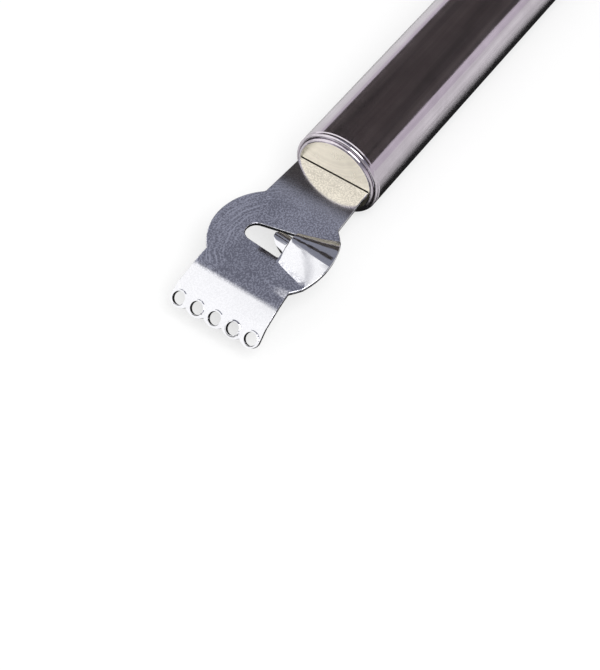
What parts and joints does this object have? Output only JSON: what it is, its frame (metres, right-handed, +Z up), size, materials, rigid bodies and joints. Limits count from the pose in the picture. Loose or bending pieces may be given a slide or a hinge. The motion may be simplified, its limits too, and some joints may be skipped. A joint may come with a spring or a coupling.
{
  "type": "citrus zester",
  "caption": "Hand tool with a round metal handle and a bent sheet blade, whose scalloped tip has a row of sharp holes and whose round lobe has a channel slot under a raised cutting lip.",
  "frame": {"origin": "centre of the tool's length and width, at the bottom of the handle on which it lies", "axes": "+X runs along the handle to the scalloped tip, +Z is up, and the lip and the ridge stand on the +Y side of the blade"},
  "size_m": [0.1584, 0.03, 0.0221],
  "materials": {
    "blade": "satin stainless steel with fine scratches",
    "front_cap": "satin stainless steel with a polished edge",
    "handle_tube": "mirror polished stainless steel",
    "end_cap": "mirror polished stainless steel"
  },
  "bodies": {
    "root": {"blade": "blade", "front_cap": "front_cap", "handle_tube": "handle_tube", "end_cap": "end_cap"}
  },
  "joints": []
}
